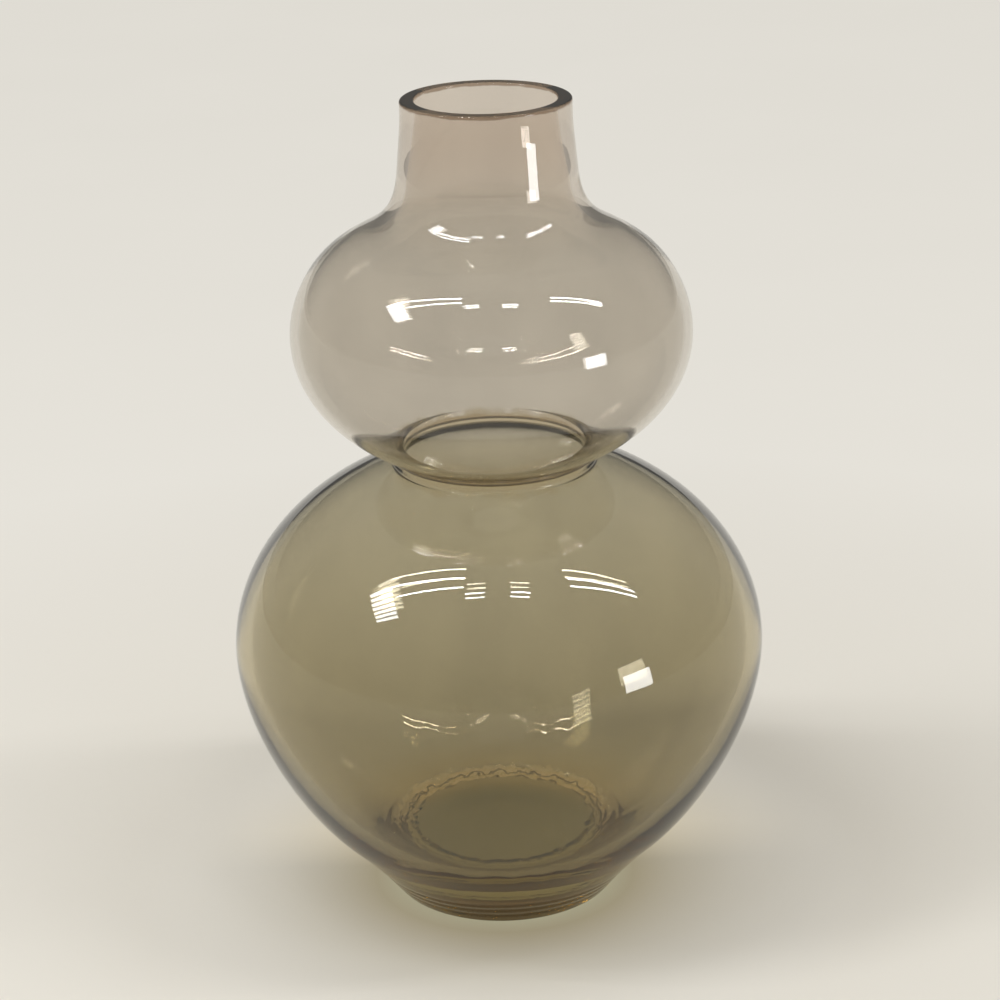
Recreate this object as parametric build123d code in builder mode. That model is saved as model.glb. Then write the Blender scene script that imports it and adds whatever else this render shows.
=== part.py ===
from build123d import *
import os
from math import acos, cos, degrees, radians, sin, sqrt

# Gourd vase of two blown glass vessels, one on the other, bonded face to face at the waist.
# Millimetres, Z up, origin in the middle of the foot, on the table.
# Each vessel is a turned shape: its outline gives radius from the axis and height.

# Lower vessel, outside
lower_radius = 91.0  # at its widest place
lower_widest = 91.0  # height of the widest place
lower_shoulder = 67.4  # from the widest place up to the joint
lower_wall = 5.0  # at the widest place
lower_top_wall = 2.0  # up at the neck, where the blown wall thins out
bowl_end_radius = 60.2  # where the bowl runs out into the foot
bowl_end_height = 24.4
bowl_slope = 44.5  # degrees from level, at the bowl's end
foot_radius = 38.8
foot_rounding = 2.0

# Lower vessel, floor inside and shallow hollow underneath
floor_height = 17.0
floor_radius = 30.0
kick_radius = 32.0
kick_depth = 1.0

# Waist: the lower vessel's short neck, the upper vessel's ground edge, the open throat and the bond
throat_radius = 31.3
collar_wall = 3.0
lower_collar = 2.4  # height of the lower neck's straight stretch outside
upper_collar = 1.4  # height of the upper vessel's straight edge outside
upper_throat = 3.0  # height of the upper vessel's straight bore inside
collar_fillet = 1.2
throat_rounding = 1.6
bond_thickness = 0.2
bond_setback = 0.3

# Upper vessel
upper_radius = 67.2  # at its widest place
upper_belly = 42.4  # from the joint up to the widest place
upper_rise = 49.2  # half height of the bulge above the widest place
upper_wall = 3.0  # at the widest place
shoulder_inset = 5.4  # from the widest radius in to where the bulge goes over into the neck's flare
neck_reach = 79.0  # from the widest place up to the mouth
neck_length = 23.6
neck_foot_radius = 29.8
neck_foot_wall = 3.4
lip_length = 3.6  # straight stretch below the mouth
mouth_radius = 28.2
mouth_wall = 5.0
mouth_arris = 0.8

# How far a free curve keeps to its end directions, as a share of its span
bowl_pull = 0.3
hollow_pull = 0.29
neck_pull = 0.3
flare_pull = 0.49

# How near an edge must lie to the place it is looked for
edge_tolerance = 0.01

# Heights that follow
collar_radius = throat_radius + collar_wall
joint_height = lower_widest + lower_shoulder
seat_height = joint_height + bond_thickness
upper_widest = seat_height + upper_belly
vase_height = upper_widest + neck_reach
down = Vector(0, -1)


def height_on_ellipse(radius, half_width, half_height):
    """Height above an ellipse's middle at a radius from the axis."""
    return half_height * sqrt(1 - (radius / half_width) ** 2)


def half_height_through(radius, height, half_width):
    """Half height of the ellipse that passes through a radius and height."""
    return height / sqrt(1 - (radius / half_width) ** 2)


def draw_bulge(middle, half_width, half_height, end_radius, direction=1):
    """Draw an ellipse's arc from its widest place to a smaller radius, upward or, with -1, downward."""
    turn = degrees(acos(end_radius / half_width))
    EllipticalCenterArc((0, middle), half_width, half_height, arc_size=direction * turn)


def free_curve(start, start_direction, end, end_direction, pull):
    """Draw a curve that leaves and arrives in the given directions."""
    reach = pull * (end - start).length
    leave = start + start_direction.normalized() * reach
    arrive = end - end_direction.normalized() * reach
    return Bezier(start, leave, arrive, end)


def draw_neck_and_shoulder(lip_radius, neck_radius, neck_depth, half_width, rise):
    """Draw the line from the mouth down the neck and over the shoulder to the widest place."""
    mouth = Vector(lip_radius, vase_height)
    lip = Vector(lip_radius, vase_height - lip_length)
    neck = Vector(neck_radius, vase_height - neck_depth)
    flare_end = half_width - shoulder_inset
    flare_height = height_on_ellipse(flare_end, half_width, rise)
    shoulder = Vector(flare_end, upper_widest + flare_height)
    shoulder_direction = Vector(flare_height / rise**2, -flare_end / half_width**2)
    Line(mouth, lip)
    free_curve(lip, down, neck, neck - lip, neck_pull)
    free_curve(neck, neck - lip, shoulder, shoulder_direction, flare_pull)
    draw_bulge(upper_widest, half_width, rise, flare_end)


def round_edges(part, radius, height, rounding):
    """Round the part's circular edges that have a radius and lie at a height."""
    circles = part.edges().filter_by(GeomType.CIRCLE)
    chosen = [
        edge
        for edge in circles
        if abs(edge.radius - radius) < edge_tolerance
        and abs(edge.arc_center.Z - height) < edge_tolerance
    ]
    fillet(chosen, rounding)


# Lower vessel: amber bowl with its foot, floor and short neck
lower_rise = half_height_through(collar_radius, lower_shoulder - lower_collar, lower_radius)
lower_inner_radius = lower_radius - lower_wall
lower_inner_rise = lower_rise - lower_top_wall
lower_collar_foot = joint_height - lower_collar
lower_throat_foot = lower_widest + height_on_ellipse(throat_radius, lower_inner_radius, lower_inner_rise)
bowl_widest = Vector(lower_radius, lower_widest)
bowl_end = Vector(bowl_end_radius, bowl_end_height)
bowl_direction = Vector(-cos(radians(bowl_slope)), -sin(radians(bowl_slope)))
hollow_widest = Vector(lower_inner_radius, lower_widest)
floor_edge = Vector(floor_radius, floor_height)

with BuildPart() as lower_bulb:
    with BuildSketch(Plane.XZ):
        with BuildLine():
            Line((throat_radius, joint_height), (collar_radius, joint_height))
            Line((collar_radius, joint_height), (collar_radius, lower_collar_foot))
            draw_bulge(lower_widest, lower_radius, lower_rise, collar_radius)
            free_curve(bowl_widest, down, bowl_end, bowl_direction, bowl_pull)
            TangentArc(bowl_end, (foot_radius, 0), tangent=bowl_direction)
            Line((foot_radius, 0), (kick_radius, 0))
            TangentArc((0, kick_depth), (kick_radius, 0), tangent=(1, 0))
            Line((0, kick_depth), (0, floor_height))
            Line((0, floor_height), floor_edge)
            free_curve(floor_edge, Vector(1, 0), hollow_widest, Vector(0, 1), hollow_pull)
            draw_bulge(lower_widest, lower_inner_radius, lower_inner_rise, throat_radius)
            Line((throat_radius, lower_throat_foot), (throat_radius, joint_height))
        make_face()
    revolve(axis=Axis.Z)
    round_edges(lower_bulb, foot_radius, 0, foot_rounding)
    round_edges(lower_bulb, collar_radius, lower_collar_foot, collar_fillet)
    round_edges(lower_bulb, throat_radius, lower_throat_foot, throat_rounding)
lower_bulb.part.label = "lower_bulb"

# Bond: a thin ring that stops short of the ground faces' edges
with BuildPart() as waist_bond:
    with BuildSketch(Plane.XY.offset(joint_height)):
        Circle(collar_radius - bond_setback)
        Circle(throat_radius + bond_setback, mode=Mode.SUBTRACT)
    extrude(amount=bond_thickness)
waist_bond.part.label = "waist_bond"

# Upper vessel: pale bulb with the neck and mouth, open at the waist
upper_drop = half_height_through(collar_radius, upper_belly - upper_collar, upper_radius)
upper_inner_radius = upper_radius - upper_wall
upper_inner_drop = half_height_through(throat_radius, upper_belly - upper_throat, upper_inner_radius)
upper_collar_top = seat_height + upper_collar
upper_throat_top = seat_height + upper_throat
mouth_inner_radius = mouth_radius - mouth_wall

with BuildPart() as upper_bulb:
    with BuildSketch(Plane.XZ):
        with BuildLine():
            Line((mouth_inner_radius, vase_height), (mouth_radius, vase_height))
            draw_neck_and_shoulder(mouth_radius, neck_foot_radius, neck_length, upper_radius, upper_rise)
            draw_bulge(upper_widest, upper_radius, upper_drop, collar_radius, direction=-1)
            Line((collar_radius, upper_collar_top), (collar_radius, seat_height))
            Line((collar_radius, seat_height), (throat_radius, seat_height))
            Line((throat_radius, seat_height), (throat_radius, upper_throat_top))
            draw_bulge(upper_widest, upper_inner_radius, upper_inner_drop, throat_radius, direction=-1)
            draw_neck_and_shoulder(
                mouth_inner_radius,
                neck_foot_radius - neck_foot_wall,
                neck_length + upper_wall,
                upper_inner_radius,
                upper_rise - upper_wall,
            )
        make_face()
    revolve(axis=Axis.Z)
    round_edges(upper_bulb, collar_radius, upper_collar_top, collar_fillet)
    round_edges(upper_bulb, throat_radius, upper_throat_top, throat_rounding)
    round_edges(upper_bulb, mouth_radius, vase_height, mouth_arris)
    round_edges(upper_bulb, mouth_inner_radius, vase_height, mouth_arris)
upper_bulb.part.label = "upper_bulb"

os.makedirs("parts", exist_ok=True)
export_step(lower_bulb.part, "parts/lower_bulb.step")
export_step(waist_bond.part, "parts/waist_bond.step")
export_step(upper_bulb.part, "parts/upper_bulb.step")
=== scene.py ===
import math

import bmesh
import bpy
from mathutils import Matrix, Vector, noise


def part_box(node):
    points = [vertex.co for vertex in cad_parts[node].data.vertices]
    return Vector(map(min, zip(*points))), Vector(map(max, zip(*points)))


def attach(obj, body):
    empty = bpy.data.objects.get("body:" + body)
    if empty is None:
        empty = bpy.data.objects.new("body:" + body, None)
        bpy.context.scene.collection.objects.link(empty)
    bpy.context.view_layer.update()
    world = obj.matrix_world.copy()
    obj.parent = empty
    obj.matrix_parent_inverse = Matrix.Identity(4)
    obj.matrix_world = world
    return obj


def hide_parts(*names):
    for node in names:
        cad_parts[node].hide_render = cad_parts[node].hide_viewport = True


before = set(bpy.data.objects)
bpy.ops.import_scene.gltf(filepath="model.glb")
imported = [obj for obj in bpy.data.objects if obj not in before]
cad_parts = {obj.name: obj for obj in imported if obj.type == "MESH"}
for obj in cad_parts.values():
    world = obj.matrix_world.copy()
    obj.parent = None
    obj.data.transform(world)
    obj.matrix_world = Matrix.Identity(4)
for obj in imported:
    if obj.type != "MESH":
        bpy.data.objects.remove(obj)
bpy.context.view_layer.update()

# Gourd vase of two blown glass vessels bonded at the waist. Metres and degrees, in the frame of the solids.
# The vessels and the bond are turned again here from the outlines of their solids, with more rings, the small
# unevenness of blown glass and the chill marks of the bowl's floor.

millimetre = 0.001

# Camera of the photograph
camera_place = Vector((0.0015, -0.896, 0.4752))
camera_pitch = 20.457  # below level
camera_roll = 1.4
camera_lens = 101.0
sensor_width = 36.0

# Light paths through the glass
most_bounces = 32
most_mirrorings = 16

# Floor
floor_half = 30.0  # half the length of its sides
floor_drop = 0.2 * millimetre  # how far it lies below the foot
floor_roughness = 0.9
floor_colour = (0.80, 0.775, 0.715, 1.0)
floor_mottle = (0.82, 0.795, 0.735, 1.0)
floor_mottle_scale = 6.0
floor_mottle_detail = 4.0

# Painted light and shade on the floor under and round the foot, standing in for the light that comes through
# the amber glass
foot_hollow = 0.032
foot_reach = 0.046
shade_end = 0.13
behind_start = 0.005  # the floor behind the foot begins here
behind_full = 0.035
# Painted colours: light under the foot, shade in front of the foot below the bowl's overhang, and a pool of
# light behind the foot
painted_light_under_foot = (0.46, 0.455, 0.31, 1.0)
painted_shade_before_foot = (0.36, 0.31, 0.20, 1.0)  # below the bowl's overhang
painted_light_behind_foot = (0.74, 0.63, 0.41, 1.0)  # where the glass gathers the light from the lamps in front

# How much of the floor's look is painted colour, whatever light and shadow fall on it: painted light and
# shade under and round the foot, its own plain colour away from the vase
painted_share_round_foot = 0.8  # under and round the foot
near_glow = 0.05  # beside the vase
far_glow = 0.8  # away from it
glow_start = 0.14
glow_end = 0.45

# Light from all round
horizon_light = 0.55
zenith_light = 0.5
horizon_top = 0.3  # sine of the height above level where it begins to change
back_shade = 0.4  # it is weaker straight behind the vase
back_shade_start = 0.6  # cosine of the angle from straight behind where it begins to weaken
back_shade_full = 0.95
light_colour = (1.0, 0.96, 0.88, 1.0)

# Lamps on the ceiling, with places as (x, y)
ceiling = 1.36
tube_width = 0.016
tube_radiance = 60.0
tubes = (
    ("left_tube_back", (-1.01, -0.15), (-0.25, -0.27)),
    ("left_tube_front", (-0.93, -0.32), (-0.27, -0.38)),
    ("right_tube_back", (0.55, -0.24), (1.40, -0.11)),
    ("right_tube_front", (0.60, -0.33), (1.49, -0.17)),
)
bar_radiance = 40.0
bar_middle = 0.19  # from the camera's line to the middle of each bar
bar_half = 0.08
bar_sides = (("left", -1), ("right", 1))
bar_rows = (("back", -0.47), ("front", -0.53))
slat_count = 7
slat_radiance = 20.0
slat_width = 0.05
slat_left = -1.24
slat_right = -0.92
slat_back = -0.16
slat_depth = 0.44  # from the back slat to the front one
slat_lean = -0.20  # from the back slat's left end to the front one's
slat_right_lean = 0.7  # share of the lean at the right ends
slat_skew = 0.02  # how far the right ends lie in front of the left ones

# Lamp beside the vase
panel_place = Vector((1.517, -0.926, 0.25))
panel_target = Vector((0.0, 0.0, 0.15))
panel_length = 0.40
panel_width = 0.31
panel_radiance = 14.0

# Turning
weld_distance = 0.001 * millimetre
corner_turn = 50.0  # an outline that turns more than this at one point has a corner there
smallest_knot = 1e-6
ring_step = 1.6 * millimetre
floor_ring_step = 0.5 * millimetre  # at the bowl's floor and foot
floor_reach = 48 * millimetre
floor_top = 26 * millimetre
segments = 360

# Cosines of the angle to the axis where a surface begins to count as facing in, and where it does so fully
facing_start = -0.1
facing_full = 0.3

# Slow waves of blown glass
wave_length = 42 * millimetre
wave_outside = 0.04 * millimetre
wave_inside = 0.07 * millimetre
wave_set_in = 0.02 * millimetre  # the surface lies this far inside the solid's before the waves begin
calm_margin = 7 * millimetre  # the waves fade out towards the foot, the waist faces and the mouth
neck_wave = 0.12 * millimetre
neck_wave_length = 13 * millimetre
neck_wave_low = 240 * millimetre
neck_wave_high = 276 * millimetre

# Chill marks round the bowl's floor
chill_upward = 0.3  # they lie on surfaces that face up at least this much
chill_radius = 32 * millimetre
chill_width = 8.5 * millimetre
chill_fade = 0.55 * chill_width  # the ring begins to fade here
chill_step = 1.1 * millimetre
chill_edge = 1.6 * millimetre
chill_jag = 1.5 * millimetre
chill_jag_length = 4.5 * millimetre
fine_jag = 0.5  # share of the finer jags
fine_jag_length = 0.4 * chill_jag_length
fine_jag_level = 0.1  # level of the noise that they are taken from
chill_ridge = 0.22 * millimetre
chill_ridge_pitch = 2.8 * millimetre

# Watery marks up the bowl's side
water_mark = 0.35 * millimetre
water_mark_length = 4 * millimetre
water_mark_squeeze = 0.25  # of heights, so that the marks are drawn out upward
water_mark_full = 1.6 * chill_width
water_mark_top = 36 * millimetre
water_mark_fade = 0.6 * water_mark_top

# Painted light and shade on the chill marks: tan patches and dark wavy lines
chill_low = 12 * millimetre  # they lie above this height, inside the bowl
chill_painted_light = (0.93, 0.83, 0.66, 1.0)
chill_painted_shade = (0.06, 0.035, 0.012, 1.0)
chill_colour_edge = 0.2 * millimetre
chill_colour_fade = 0.7 * chill_width
chill_jag_scale = 230.0
chill_jag_detail = 3.0
chill_patch_scale = 70.0
chill_patch_detail = 2.0
chill_patch_range = (0.42, 0.58)
chill_patch_shares = (0.5, 1.0)
chill_line_pitch = 3.4 * millimetre
chill_line_range = (0.5, 0.9)
chill_line_shares = (0.0, 0.85)

# Tool rings round the foot
foot_ring_upward = 0.5  # surfaces that face up more than this have none
foot_ring = 0.16 * millimetre
foot_ring_pitch = 3.2 * millimetre
foot_ring_wander = 3.0
foot_ring_top = 15 * millimetre
foot_ring_start = 0.1 * foot_ring_top
foot_ring_full = 0.3 * foot_ring_top
foot_ring_fade = 0.6 * foot_ring_top

# Bond
bond_overlap = 0.02 * millimetre
bond_spread = 0.25 * millimetre  # how far the film runs out past its solid before its edge draws back
bond_wander = 0.5 * millimetre
bond_wander_length = 6 * millimetre

# All blown glass
glass_index = 1.5
cord_squeeze = (1.0, 1.0, 0.3)  # of places, so that the cords are drawn out upward
cord_scale = 34.0
cord_detail = 3.0
cord_range = (0.35, 0.65)
cord_shade = 0.94
smudge_scale = 26.0
smudge_detail = 4.0
smudge_range = (0.55, 0.75)
smudge_roughness = 0.03
skin_scale = 140.0
skin_detail = 2.0
skin_strength = 0.15
skin_depth = 0.02 * millimetre

# Bands of painted shade at the ground edges
shade_grain_scale = 120.0
shade_grain_detail = 3.0
shade_unevenness = 0.3
shade_fade_range = (0.7, 1.1)  # shares of the stain's spread
noise_range = (0.3, 0.7)  # the part of a noise that is spread out to its full swing

# Rose-grey glass of the upper vessel
rose_tint = (0.85, 0.785, 0.72)
rose_deep_tint = (0.80, 0.768, 0.714)
rose_heights = (0.262, 0.235)
rose_absorbing = (0.4, 0.3, 0.15)
rose_density = 20.0
# Painted shade in bands at the rim and at the ground face of the waist
rim_painted_shade = (0.22, 0.145, 0.095)
rim_stain_spread = 1.1 * millimetre
upper_edge_painted_shade = (0.5, 0.41, 0.26)
upper_edge_spread = 2.0 * millimetre

# Amber glass of the lower vessel
amber_tint = (0.765, 0.75, 0.69)
# Towards the bottom the amber darkens to the deep tint: painted shade for the darker floor seen through the
# glass
amber_deep_tint = (0.60, 0.575, 0.48)
amber_heights = (0.15, 0.03)
amber_absorbing = (0.6875, 0.542, 0.0625)
amber_density = 48.0
# Painted shade in a band at the ground face of the waist
lower_edge_painted_shade = (0.66, 0.60, 0.47)
lower_edge_spread = 3.0 * millimetre

# Clear adhesive, which takes its depth of colour from the amber glass
film_tint = (0.80, 0.72, 0.55)
film_deep_tint = (0.70, 0.60, 0.42)
film_height = 0.2 * millimetre

# Places of the colour sockets in a mix node
mix_share = 0
mix_first = 6
mix_second = 7
mix_result = 2


def smooth_step(low, high, value):
    """0 below low, 1 above high, and a smooth rise between them."""
    share = min(max((value - low) / (high - low), 0.0), 1.0)
    return share * share * (3.0 - 2.0 * share)


def swing_of(place):
    """A smooth noise from about 0 to about 1."""
    return 0.5 + 0.5 * noise.noise(place)


def outline_of(node):
    """Outline of a turned solid in the half plane y = 0, x > 0, in order, as (radius, height) points."""
    mesh = bmesh.new()
    mesh.from_mesh(node.data)
    bmesh.ops.remove_doubles(mesh, verts=mesh.verts, dist=weld_distance)
    seam = [v for v in mesh.verts if abs(v.co.y) < weld_distance and v.co.x > -weld_distance]
    on_seam = set(seam)
    links = {v: [e.other_vert(v) for e in v.link_edges if e.other_vert(v) in on_seam] for v in seam}
    ends = [v for v in seam if len(links[v]) == 1]
    start = min(ends or seam, key=lambda v: (v.co.x, v.co.z))
    path = [start]
    walked = {start}
    while True:
        ahead = [v for v in links[path[-1]] if v not in walked]
        if not ahead:
            break
        path.append(ahead[0])
        walked.add(ahead[0])
    points = [Vector((v.co.x, v.co.z)) for v in path]
    mesh.free()
    if ends:
        points.append(Vector((0.0, points[-1].y)))
    area = sum(a.x * b.y - b.x * a.y for a, b in zip(points, points[1:] + points[:1]))
    if area < 0:
        points.reverse()
    return points


def turn_at(before, here, after):
    """How far an outline turns at a point, in degrees."""
    arriving = here - before
    leaving = after - here
    return abs(math.degrees(arriving.angle_signed(leaving)))


def step_between(start, end):
    """How far apart the rings lie between two outline points."""
    at_floor = max(start.y, end.y) < floor_top and max(start.x, end.x) < floor_reach
    return floor_ring_step if at_floor else ring_step


def smooth_between(before, start, end, after):
    """Points from start up to end on a smooth curve through four outline points."""
    knots = [0.0]
    for first, second in ((before, start), (start, end), (end, after)):
        knots.append(knots[-1] + max(math.sqrt((second - first).length), smallest_knot))
    knot_0, knot_1, knot_2, knot_3 = knots
    count = max(1, math.ceil((end - start).length / step_between(start, end)))
    points = []
    for step in range(count):
        now = knot_1 + (knot_2 - knot_1) * step / count
        on_first = before.lerp(start, (now - knot_0) / (knot_1 - knot_0))
        on_middle = start.lerp(end, (now - knot_1) / (knot_2 - knot_1))
        on_last = end.lerp(after, (now - knot_2) / (knot_3 - knot_2))
        early = on_first.lerp(on_middle, (now - knot_0) / (knot_2 - knot_0))
        late = on_middle.lerp(on_last, (now - knot_1) / (knot_3 - knot_1))
        points.append(early.lerp(late, (now - knot_1) / (knot_2 - knot_1)))
    return points


def refined(outline):
    """A closed outline with smooth runs of more points between its corners, as (point, is corner) pairs."""
    count = len(outline)
    lowest = Vector((min(p.x for p in outline), min(p.y for p in outline)))
    highest = Vector((max(p.x for p in outline), max(p.y for p in outline)))
    on_axis = [p.x < weld_distance for p in outline]
    corner = [
        on_axis[i] or turn_at(outline[i - 1], outline[i], outline[(i + 1) % count]) > corner_turn
        for i in range(count)
    ]
    fine = []
    for i in range(count):
        following = (i + 1) % count
        start = outline[i]
        end = outline[following]
        if on_axis[i] and on_axis[following]:
            fine.append((start, True))
            continue
        before = outline[i - 1]
        after = outline[(i + 2) % count]
        if corner[i]:
            before = Vector((-end.x, end.y)) if on_axis[i] else 2 * start - end
        if corner[following]:
            after = Vector((-start.x, start.y)) if on_axis[following] else 2 * end - start
        for step, point in enumerate(smooth_between(before, start, end, after)):
            radius = min(max(point.x, lowest.x), highest.x)
            height = min(max(point.y, lowest.y), highest.y)
            fine.append((Vector((radius, height)), corner[i] and step == 0))
    return fine


def turned(name, outline, inward):
    """Turn a closed outline about Z. inward(place, normal) says how far the surface lies inside it."""
    mesh = bmesh.new()
    rings = []
    count = len(outline)
    for i, (point, corner) in enumerate(outline):
        along = outline[(i + 1) % count][0] - outline[i - 1][0]
        outward = Vector((along.y, -along.x)).normalized()
        if point.x < weld_distance:
            rings.append([mesh.verts.new((0.0, 0.0, point.y))])
            continue
        ring = []
        for k in range(segments):
            angle = math.tau * k / segments
            ray = Vector((math.cos(angle), math.sin(angle), 0.0))
            normal = ray * outward.x + Vector((0.0, 0.0, outward.y))
            place = ray * point.x + Vector((0.0, 0.0, point.y))
            depth = 0.0 if corner else inward(place, normal)
            ring.append(mesh.verts.new(place - normal * depth))
        rings.append(ring)
    for i in range(count):
        low = rings[i]
        high = rings[(i + 1) % count]
        if len(low) == 1 and len(high) == 1:
            continue
        for k in range(segments):
            n = (k + 1) % segments
            if len(low) == 1:
                mesh.faces.new((low[0], high[n], high[k]))
            elif len(high) == 1:
                mesh.faces.new((low[k], low[n], high[0]))
            else:
                mesh.faces.new((low[k], low[n], high[n], high[k]))
        if outline[i][1] and len(low) > 1:
            for k in range(segments):
                mesh.edges.get((low[k], low[(k + 1) % segments])).smooth = False
    for face in mesh.faces:
        face.smooth = True
    data = bpy.data.meshes.new(name)
    mesh.to_mesh(data)
    mesh.free()
    piece = bpy.data.objects.new(name, data)
    bpy.context.scene.collection.objects.link(piece)
    return piece


def facing_in(place, normal):
    """1 where a surface faces the axis, 0 where it faces away from it."""
    toward_axis = -(place.x * normal.x + place.y * normal.y) / max(place.xy.length, weld_distance)
    return smooth_step(facing_start, facing_full, toward_axis)


def slow_waves(place, normal, low, high):
    """Slow waves of blown glass, weaker outside, and none at the foot, the ground faces and the mouth."""
    calm = smooth_step(0.0, calm_margin, high - place.z) * smooth_step(0.0, calm_margin, place.z - low)
    reach = wave_outside + (wave_inside - wave_outside) * facing_in(place, normal)
    return calm * (wave_set_in + reach * swing_of(place / wave_length))


def neck_waves(place, normal):
    """Shorter waves inside the neck, where the glass was drawn in."""
    window = smooth_step(neck_wave_low, neck_wave_low + calm_margin, place.z)
    window *= 1.0 - smooth_step(neck_wave_high - calm_margin, neck_wave_high, place.z)
    return window * facing_in(place, normal) * neck_wave * swing_of(place / neck_wave_length)


def chill_marks(place, normal):
    """The uneven step round the bowl's floor, the ridges beyond it and the watery marks up its side."""
    if normal.z < chill_upward or place.z > water_mark_top:
        return 0.0
    around = place.xy.normalized() * chill_radius
    jag = noise.noise(Vector((around.x, around.y, 0.0)) / chill_jag_length)
    jag += fine_jag * noise.noise(Vector((around.x, around.y, fine_jag_level)) / fine_jag_length)
    past = place.xy.length - chill_radius - chill_jag * jag
    in_ring = smooth_step(-0.5 * chill_edge, 0.5 * chill_edge, past)
    in_ring *= 1.0 - smooth_step(chill_fade, chill_width, past)
    ridge = math.sin(math.tau * past / chill_ridge_pitch) * in_ring
    watery = noise.noise(Vector((around.x, around.y, water_mark_squeeze * place.z)) / water_mark_length)
    watery *= smooth_step(chill_width, water_mark_full, past)
    watery *= 1.0 - smooth_step(water_mark_fade, water_mark_top, place.z)
    return chill_step * in_ring + chill_ridge * ridge + water_mark * watery


def foot_rings(place, normal):
    """Fine level rings that the tool left round the foot."""
    if normal.z > foot_ring_upward or place.z > foot_ring_top:
        return 0.0
    outside = 1.0 - facing_in(place, normal)
    fade = smooth_step(foot_ring_start, foot_ring_full, place.z)
    fade *= 1.0 - smooth_step(foot_ring_fade, foot_ring_top, place.z)
    wander = foot_ring_wander * noise.noise(place / wave_length)
    swing = math.sin(math.tau * place.z / foot_ring_pitch + wander)
    return outside * fade * foot_ring * (0.5 + 0.5 * swing)


def make_upper_bulb():
    """The upper vessel, with the waves of its glass."""
    low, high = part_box("upper_bulb")
    outline = refined(outline_of(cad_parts["upper_bulb"]))

    def inward(place, normal):
        return slow_waves(place, normal, low.z, high.z) + neck_waves(place, normal)

    return turned("upper_vessel", outline, inward)


def make_lower_bulb():
    """The lower vessel, with the waves of its glass, the chill marks and the tool rings."""
    low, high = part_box("lower_bulb")
    outline = refined(outline_of(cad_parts["lower_bulb"]))

    def inward(place, normal):
        depth = slow_waves(place, normal, low.z, high.z)
        return depth + chill_marks(place, normal) + foot_rings(place, normal)

    return turned("lower_vessel", outline, inward)


def make_waist_bond():
    """The cured film wets both ground faces and its edges wander."""
    outline = refined(outline_of(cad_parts["waist_bond"]))
    low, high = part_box("waist_bond")
    spread = []
    for point, corner in outline:
        upper_face = point.y > 0.5 * (low.z + high.z)
        overlap = bond_overlap if upper_face else -bond_overlap
        spread.append((Vector((point.x, point.y + overlap)), corner))
    piece = turned("bond_film", spread, lambda place, normal: 0.0)
    middle = 0.5 * (min(p.x for p, corner in spread) + max(p.x for p, corner in spread))
    for vertex in piece.data.vertices:
        radius = vertex.co.xy.length
        ray = vertex.co.xy / radius
        side = 1.0 if radius > middle else -1.0
        around = Vector((ray.x * middle, ray.y * middle, side)) / bond_wander_length
        draw_back = bond_wander * swing_of(around) - bond_spread
        vertex.co.xy = ray * (radius - side * draw_back)
    return piece


def put(tree, socket, value):
    """Link a socket to another node's output, or set it to a value."""
    if isinstance(value, bpy.types.NodeSocket):
        tree.links.new(value, socket)
    else:
        socket.default_value = value


def calculate(tree, operation, first, second=0.0):
    """Do a sum with one or two values."""
    node = tree.nodes.new("ShaderNodeMath")
    node.operation = operation
    put(tree, node.inputs[0], first)
    put(tree, node.inputs[1], second)
    return node.outputs[0]


def length_of(tree, place):
    """How far a place lies from the origin."""
    node = tree.nodes.new("ShaderNodeVectorMath")
    node.operation = "LENGTH"
    put(tree, node.inputs[0], place)
    return node.outputs["Value"]


def split_up(tree, place):
    """The outputs X, Y and Z of a place or direction."""
    node = tree.nodes.new("ShaderNodeSeparateXYZ")
    put(tree, node.inputs[0], place)
    return node.outputs


def object_place(tree):
    """The place on the object that is shaded."""
    return tree.nodes.new("ShaderNodeTexCoord").outputs["Object"]


def noise_at(tree, place, scale, detail):
    """A smooth noise from 0 to 1."""
    node = tree.nodes.new("ShaderNodeTexNoise")
    put(tree, node.inputs["Vector"], place)
    put(tree, node.inputs["Scale"], scale)
    put(tree, node.inputs["Detail"], detail)
    return node.outputs["Fac"]


def spread_range(tree, value, from_low, from_high, to_low, to_high):
    """Carry a value from one range over to another, and no further than its ends."""
    node = tree.nodes.new("ShaderNodeMapRange")
    put(tree, node.inputs["Value"], value)
    put(tree, node.inputs["From Min"], from_low)
    put(tree, node.inputs["From Max"], from_high)
    put(tree, node.inputs["To Min"], to_low)
    put(tree, node.inputs["To Max"], to_high)
    return node.outputs["Result"]


def blend_colours(tree, share, first, second, kind="MIX"):
    """Blend a share of the second colour into the first."""
    node = tree.nodes.new("ShaderNodeMix")
    node.data_type = "RGBA"
    node.blend_type = kind
    put(tree, node.inputs[mix_share], share)
    put(tree, node.inputs[mix_first], first)
    put(tree, node.inputs[mix_second], second)
    return node.outputs[mix_result]


def new_group(name, inputs, outputs):
    """A new node group. Returns its tree, the values it is given and the sockets for its results."""
    tree = bpy.data.node_groups.new(name, "ShaderNodeTree")
    for way, sockets in (("INPUT", inputs), ("OUTPUT", outputs)):
        for socket, kind in sockets:
            tree.interface.new_socket(socket, in_out=way, socket_type=kind)
    given = tree.nodes.new("NodeGroupInput").outputs
    result = tree.nodes.new("NodeGroupOutput").inputs
    return tree, given, result


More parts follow.
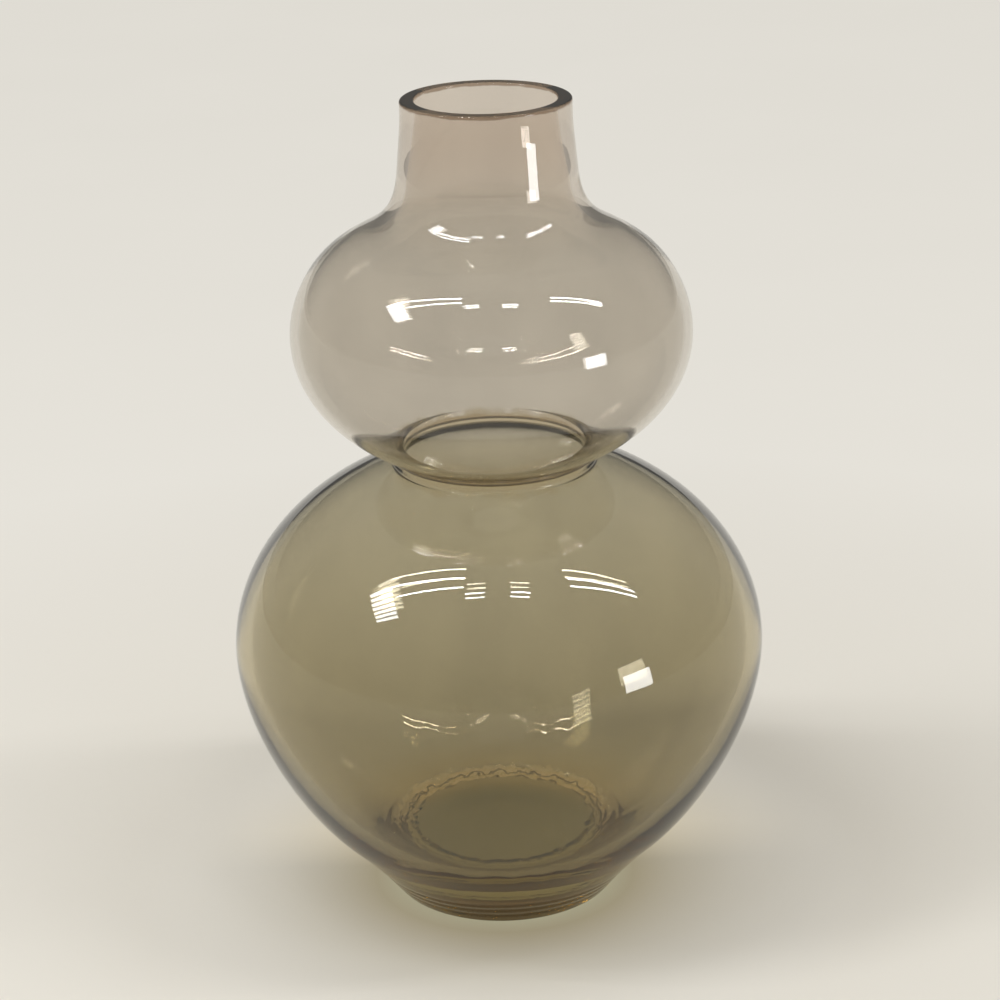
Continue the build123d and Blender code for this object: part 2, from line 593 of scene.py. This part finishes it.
def make_blown_tint():
    """Node group for blown glass: a tint that deepens between two heights, cords, smudges and a fine skin."""
    tree, given, result = new_group(
        "blown tint",
        (
            ("Tint", "NodeSocketColor"),
            ("Deep Tint", "NodeSocketColor"),
            ("Pale Height", "NodeSocketFloat"),
            ("Deep Height", "NodeSocketFloat"),
            ("Cord Shade", "NodeSocketFloat"),
            ("Smudge", "NodeSocketFloat"),
        ),
        (
            ("Color", "NodeSocketColor"),
            ("Roughness", "NodeSocketFloat"),
            ("Skin", "NodeSocketFloat"),
        ),
    )
    place = object_place(tree)
    height = split_up(tree, place)["Z"]
    deep = spread_range(tree, height, given["Pale Height"], given["Deep Height"], 0.0, 1.0)
    drawn_out = tree.nodes.new("ShaderNodeMapping")
    put(tree, drawn_out.inputs["Vector"], place)
    put(tree, drawn_out.inputs["Scale"], cord_squeeze)
    cords = noise_at(tree, drawn_out.outputs[0], cord_scale, cord_detail)
    shade = spread_range(tree, cords, *cord_range, given["Cord Shade"], 1.0)
    tint = blend_colours(tree, deep, given["Tint"], given["Deep Tint"])
    put(tree, result["Color"], blend_colours(tree, 1.0, tint, shade, "MULTIPLY"))
    smudges = noise_at(tree, place, smudge_scale, smudge_detail)
    put(tree, result["Roughness"], spread_range(tree, smudges, *smudge_range, 0.0, given["Smudge"]))
    put(tree, result["Skin"], noise_at(tree, place, skin_scale, skin_detail))
    return tree


def make_edge_painted_shade():
    """Node group for a band of painted shade with uneven edges at one height, as at a ground edge or a bond.
    """
    tree, given, result = new_group(
        "edge painted shade",
        (
            ("Color", "NodeSocketColor"),
            ("Painted Shade", "NodeSocketColor"),
            ("Height", "NodeSocketFloat"),
            ("Spread", "NodeSocketFloat"),
        ),
        (("Color", "NodeSocketColor"),),
    )
    place = object_place(tree)
    away = calculate(tree, "SUBTRACT", split_up(tree, place)["Z"], given["Height"])
    away = calculate(tree, "DIVIDE", calculate(tree, "ABSOLUTE", away), given["Spread"])
    grain = noise_at(tree, place, shade_grain_scale, shade_grain_detail)
    uneven = spread_range(tree, grain, *noise_range, -shade_unevenness, shade_unevenness)
    shaded = spread_range(tree, calculate(tree, "ADD", away, uneven), *shade_fade_range, 1.0, 0.0)
    put(tree, result["Color"], blend_colours(tree, shaded, given["Color"], given["Painted Shade"]))
    return tree


def paint_chill_light_and_shade(tree, colour):
    """Tan patches of painted light and dark wavy lines of painted shade in the ring of chill marks round the
    bowl's floor.
    """
    place = object_place(tree)
    height = split_up(tree, place)["Z"]
    flattened = tree.nodes.new("ShaderNodeVectorMath")
    flattened.operation = "MULTIPLY"
    put(tree, flattened.inputs[0], place)
    put(tree, flattened.inputs[1], (1.0, 1.0, 0.0))
    level = flattened.outputs[0]
    grain = noise_at(tree, level, chill_jag_scale, chill_jag_detail)
    jag = spread_range(tree, grain, *noise_range, -chill_jag, chill_jag)
    past = calculate(tree, "SUBTRACT", length_of(tree, level), chill_radius)
    past = calculate(tree, "ADD", past, jag)
    ring = spread_range(tree, past, -chill_colour_edge, chill_colour_edge, 0.0, 1.0)
    fade = spread_range(tree, past, chill_colour_fade, chill_width, 1.0, 0.0)
    above = spread_range(tree, height, chill_low, chill_low + millimetre, 0.0, 1.0)
    below = spread_range(tree, height, floor_top, floor_top + millimetre, 1.0, 0.0)
    for limit in (fade, above, below):
        ring = calculate(tree, "MULTIPLY", ring, limit)
    patches = noise_at(tree, level, chill_patch_scale, chill_patch_detail)
    patches = spread_range(tree, patches, *chill_patch_range, *chill_patch_shares)
    lines = calculate(tree, "SINE", calculate(tree, "MULTIPLY", past, math.tau / chill_line_pitch))
    lines = spread_range(tree, lines, *chill_line_range, *chill_line_shares)
    colour = blend_colours(tree, calculate(tree, "MULTIPLY", ring, patches), colour, chill_painted_light)
    return blend_colours(tree, calculate(tree, "MULTIPLY", ring, lines), colour, chill_painted_shade)


def glass(name, tint, deep_tint, heights, absorbing, density, painted_shades, paint_chill_light=False):
    """Tinted clear glass.

    heights are those of the tint and the deep tint. absorbing and density say how its thickness colours it.
    The bands of painted shade are given as (colour, height, spread).
    """
    material = bpy.data.materials.new(name)
    material.use_nodes = True
    tree = material.node_tree
    shader = tree.nodes["Principled BSDF"]
    shader.inputs["IOR"].default_value = glass_index
    shader.inputs["Transmission Weight"].default_value = 1.0
    blown = tree.nodes.new("ShaderNodeGroup")
    blown.node_tree = blown_tint
    put(tree, blown.inputs["Tint"], (*tint, 1.0))
    put(tree, blown.inputs["Deep Tint"], (*deep_tint, 1.0))
    put(tree, blown.inputs["Pale Height"], heights[0])
    put(tree, blown.inputs["Deep Height"], heights[1])
    put(tree, blown.inputs["Cord Shade"], cord_shade)
    put(tree, blown.inputs["Smudge"], smudge_roughness)
    colour = blown.outputs["Color"]
    for shade_colour, height, spread in painted_shades:
        shade_band = tree.nodes.new("ShaderNodeGroup")
        shade_band.node_tree = edge_painted_shade
        put(tree, shade_band.inputs["Color"], colour)
        put(tree, shade_band.inputs["Painted Shade"], (*shade_colour, 1.0))
        put(tree, shade_band.inputs["Height"], height)
        put(tree, shade_band.inputs["Spread"], spread)
        colour = shade_band.outputs["Color"]
    if paint_chill_light:
        colour = paint_chill_light_and_shade(tree, colour)
    put(tree, shader.inputs["Base Color"], colour)
    put(tree, shader.inputs["Roughness"], blown.outputs["Roughness"])
    skin = tree.nodes.new("ShaderNodeBump")
    skin.inputs["Strength"].default_value = skin_strength
    skin.inputs["Distance"].default_value = skin_depth
    put(tree, skin.inputs["Height"], blown.outputs["Skin"])
    put(tree, shader.inputs["Normal"], skin.outputs["Normal"])
    volume = tree.nodes.new("ShaderNodeVolumeAbsorption")
    volume.inputs["Color"].default_value = (*absorbing, 1.0)
    volume.inputs["Density"].default_value = density
    put(tree, tree.nodes["Material Output"].inputs["Volume"], volume.outputs["Volume"])
    return material


def pale_floor():
    """Matt floor that shows a share of painted light and shade round the foot, and of its own plain colour
    away from the vase.
    """
    material = bpy.data.materials.new("pale floor")
    material.use_nodes = True
    tree = material.node_tree
    shader = tree.nodes["Principled BSDF"]
    shader.inputs["Roughness"].default_value = floor_roughness
    shader.inputs["Specular IOR Level"].default_value = 0.0
    place = object_place(tree)
    mottle = noise_at(tree, place, floor_mottle_scale, floor_mottle_detail)
    pale = blend_colours(tree, mottle, floor_colour, floor_mottle)
    put(tree, shader.inputs["Base Color"], pale)
    distance = length_of(tree, place)
    # Painted light and shade round the foot: amber light under and behind it, brown shade in front of it
    outward = spread_range(tree, distance, foot_hollow, foot_reach, 0.0, 1.0)
    clear = spread_range(tree, distance, foot_reach, shade_end, 0.0, 1.0)
    behind = spread_range(tree, split_up(tree, place)["Y"], behind_start, behind_full, 0.0, 1.0)
    painted_round_foot = blend_colours(tree, behind, painted_shade_before_foot, painted_light_behind_foot)
    painted_amber = blend_colours(tree, outward, painted_light_under_foot, painted_round_foot)
    glow = tree.nodes.new("ShaderNodeEmission")
    put(tree, glow.inputs["Color"], blend_colours(tree, clear, painted_amber, pale))
    path = tree.nodes.new("ShaderNodeLightPath")
    seen = path.outputs["Is Camera Ray"]
    for ray in ("Is Glossy Ray", "Is Transmission Ray"):
        seen = calculate(tree, "MAXIMUM", seen, path.outputs[ray])
    painted_share = spread_range(tree, distance, foot_reach, shade_end, painted_share_round_foot, near_glow)
    beyond = spread_range(tree, distance, glow_start, glow_end, near_glow, far_glow)
    share = calculate(tree, "MAXIMUM", painted_share, beyond)
    blend = tree.nodes.new("ShaderNodeMixShader")
    put(tree, blend.inputs[0], calculate(tree, "MULTIPLY", seen, share))
    put(tree, blend.inputs[1], shader.outputs[0])
    put(tree, blend.inputs[2], glow.outputs[0])
    put(tree, tree.nodes["Material Output"].inputs["Surface"], blend.outputs[0])
    return material


def make_floor():
    """A wide level floor just below the foot."""
    mesh = bpy.data.meshes.new("studio_floor")
    corners = [
        (-floor_half, -floor_half, -floor_drop),
        (floor_half, -floor_half, -floor_drop),
        (floor_half, floor_half, -floor_drop),
        (-floor_half, floor_half, -floor_drop),
    ]
    mesh.from_pydata(corners, [], [(0, 1, 2, 3)])
    mesh.materials.append(pale_floor())
    floor = bpy.data.objects.new("studio_floor", mesh)
    bpy.context.scene.collection.objects.link(floor)


def make_camera():
    """The camera at the photograph's place and angle."""
    data = bpy.data.cameras.new("camera")
    data.lens = camera_lens
    data.sensor_width = sensor_width
    camera = bpy.data.objects.new("camera", data)
    tilt = Matrix.Rotation(math.radians(90.0 - camera_pitch), 4, "X")
    roll = Matrix.Rotation(math.radians(-camera_roll), 4, "Z")
    camera.matrix_world = Matrix.Translation(camera_place) @ tilt @ roll
    bpy.context.scene.collection.objects.link(camera)
    bpy.context.scene.camera = camera


def make_lamp(name, place, length, width, radiance, aim=Vector((0.0, 0.0, -1.0)), turn=0.0):
    """A rectangular lamp. aim is the way it shines, turn its turn about that, in degrees."""
    data = bpy.data.lights.new(name, "AREA")
    data.shape = "RECTANGLE"
    data.size = length
    data.size_y = width
    data.energy = radiance * math.pi * length * width
    lamp = bpy.data.objects.new(name, data)
    facing = aim.to_track_quat("-Z", "Y").to_matrix().to_4x4()
    turning = Matrix.Rotation(math.radians(turn), 4, "Z")
    lamp.matrix_world = Matrix.Translation(place) @ facing @ turning
    lamp.visible_camera = False
    bpy.context.scene.collection.objects.link(lamp)


def make_tube(name, start, end, width, radiance):
    """A lamp on the ceiling from one place to another."""
    along = Vector(end) - Vector(start)
    middle = 0.5 * (Vector(start) + Vector(end))
    turn = math.degrees(math.atan2(along.y, along.x))
    place = (middle.x, middle.y, ceiling)
    make_lamp(name, place, along.length, width, radiance, turn=turn)


def make_light():
    """Soft light from all round, lamps on the ceiling and one beside the vase."""
    world = bpy.data.worlds.new("studio")
    bpy.context.scene.world = world
    world.use_nodes = True
    tree = world.node_tree
    background = tree.nodes["Background"]
    direction = split_up(tree, tree.nodes.new("ShaderNodeTexCoord").outputs["Generated"])
    sky = spread_range(tree, direction["Z"], horizon_top, 1.0, horizon_light, zenith_light)
    shade = spread_range(tree, direction["Y"], back_shade_start, back_shade_full, 1.0, back_shade)
    put(tree, background.inputs["Strength"], calculate(tree, "MULTIPLY", sky, shade))
    background.inputs["Color"].default_value = light_colour
    for name, start, end in tubes:
        make_tube(name, start, end, tube_width, tube_radiance)
    for side_name, side in bar_sides:
        for row_name, row in bar_rows:
            start = (side * bar_middle - bar_half, row)
            end = (side * bar_middle + bar_half, row)
            make_tube("bar_%s_%s" % (side_name, row_name), start, end, tube_width, bar_radiance)
    for slat in range(slat_count):
        y = slat_back - slat_depth * slat / (slat_count - 1)
        lean = slat_lean * slat / (slat_count - 1)
        start = (slat_left + lean, y)
        end = (slat_right + slat_right_lean * lean, y - slat_skew)
        make_tube("slat_%d" % slat, start, end, slat_width, slat_radiance)
    panel_aim = panel_target - panel_place
    make_lamp("panel", panel_place, panel_length, panel_width, panel_radiance, aim=panel_aim)


blown_tint = make_blown_tint()
edge_painted_shade = make_edge_painted_shade()
upper = make_upper_bulb()
lower = make_lower_bulb()
bond = make_waist_bond()
mouth_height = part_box("upper_bulb")[1].z
joint_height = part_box("lower_bulb")[1].z
rose_glass = glass(
    "rose-grey glass",
    rose_tint,
    rose_deep_tint,
    rose_heights,
    rose_absorbing,
    rose_density,
    [
        (rim_painted_shade, mouth_height, rim_stain_spread),
        (upper_edge_painted_shade, joint_height, upper_edge_spread),
    ],
)
amber_glass = glass(
    "amber glass",
    amber_tint,
    amber_deep_tint,
    amber_heights,
    amber_absorbing,
    amber_density,
    [(lower_edge_painted_shade, joint_height, lower_edge_spread)],
    paint_chill_light=True,
)
clear_adhesive = glass(
    "clear adhesive",
    film_tint,
    film_deep_tint,
    (joint_height + film_height, joint_height),
    amber_absorbing,
    amber_density,
    [],
)
for piece, node, slot, material in (
    (upper, "upper_bulb", "rose_grey_glass", rose_glass),
    (lower, "lower_bulb", "amber_glass", amber_glass),
    (bond, "waist_bond", "clear_adhesive", clear_adhesive),
):
    piece.data.materials.append(material)
    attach(piece, "root")
    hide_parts(node)

make_floor()
make_camera()
make_light()
scene = bpy.context.scene
scene.view_settings.view_transform = "Standard"
scene.cycles.use_denoising = True
scene.cycles.max_bounces = most_bounces
scene.cycles.transmission_bounces = most_bounces
scene.cycles.glossy_bounces = most_mirrorings
scene.cycles.sample_clamp_indirect = 0.0
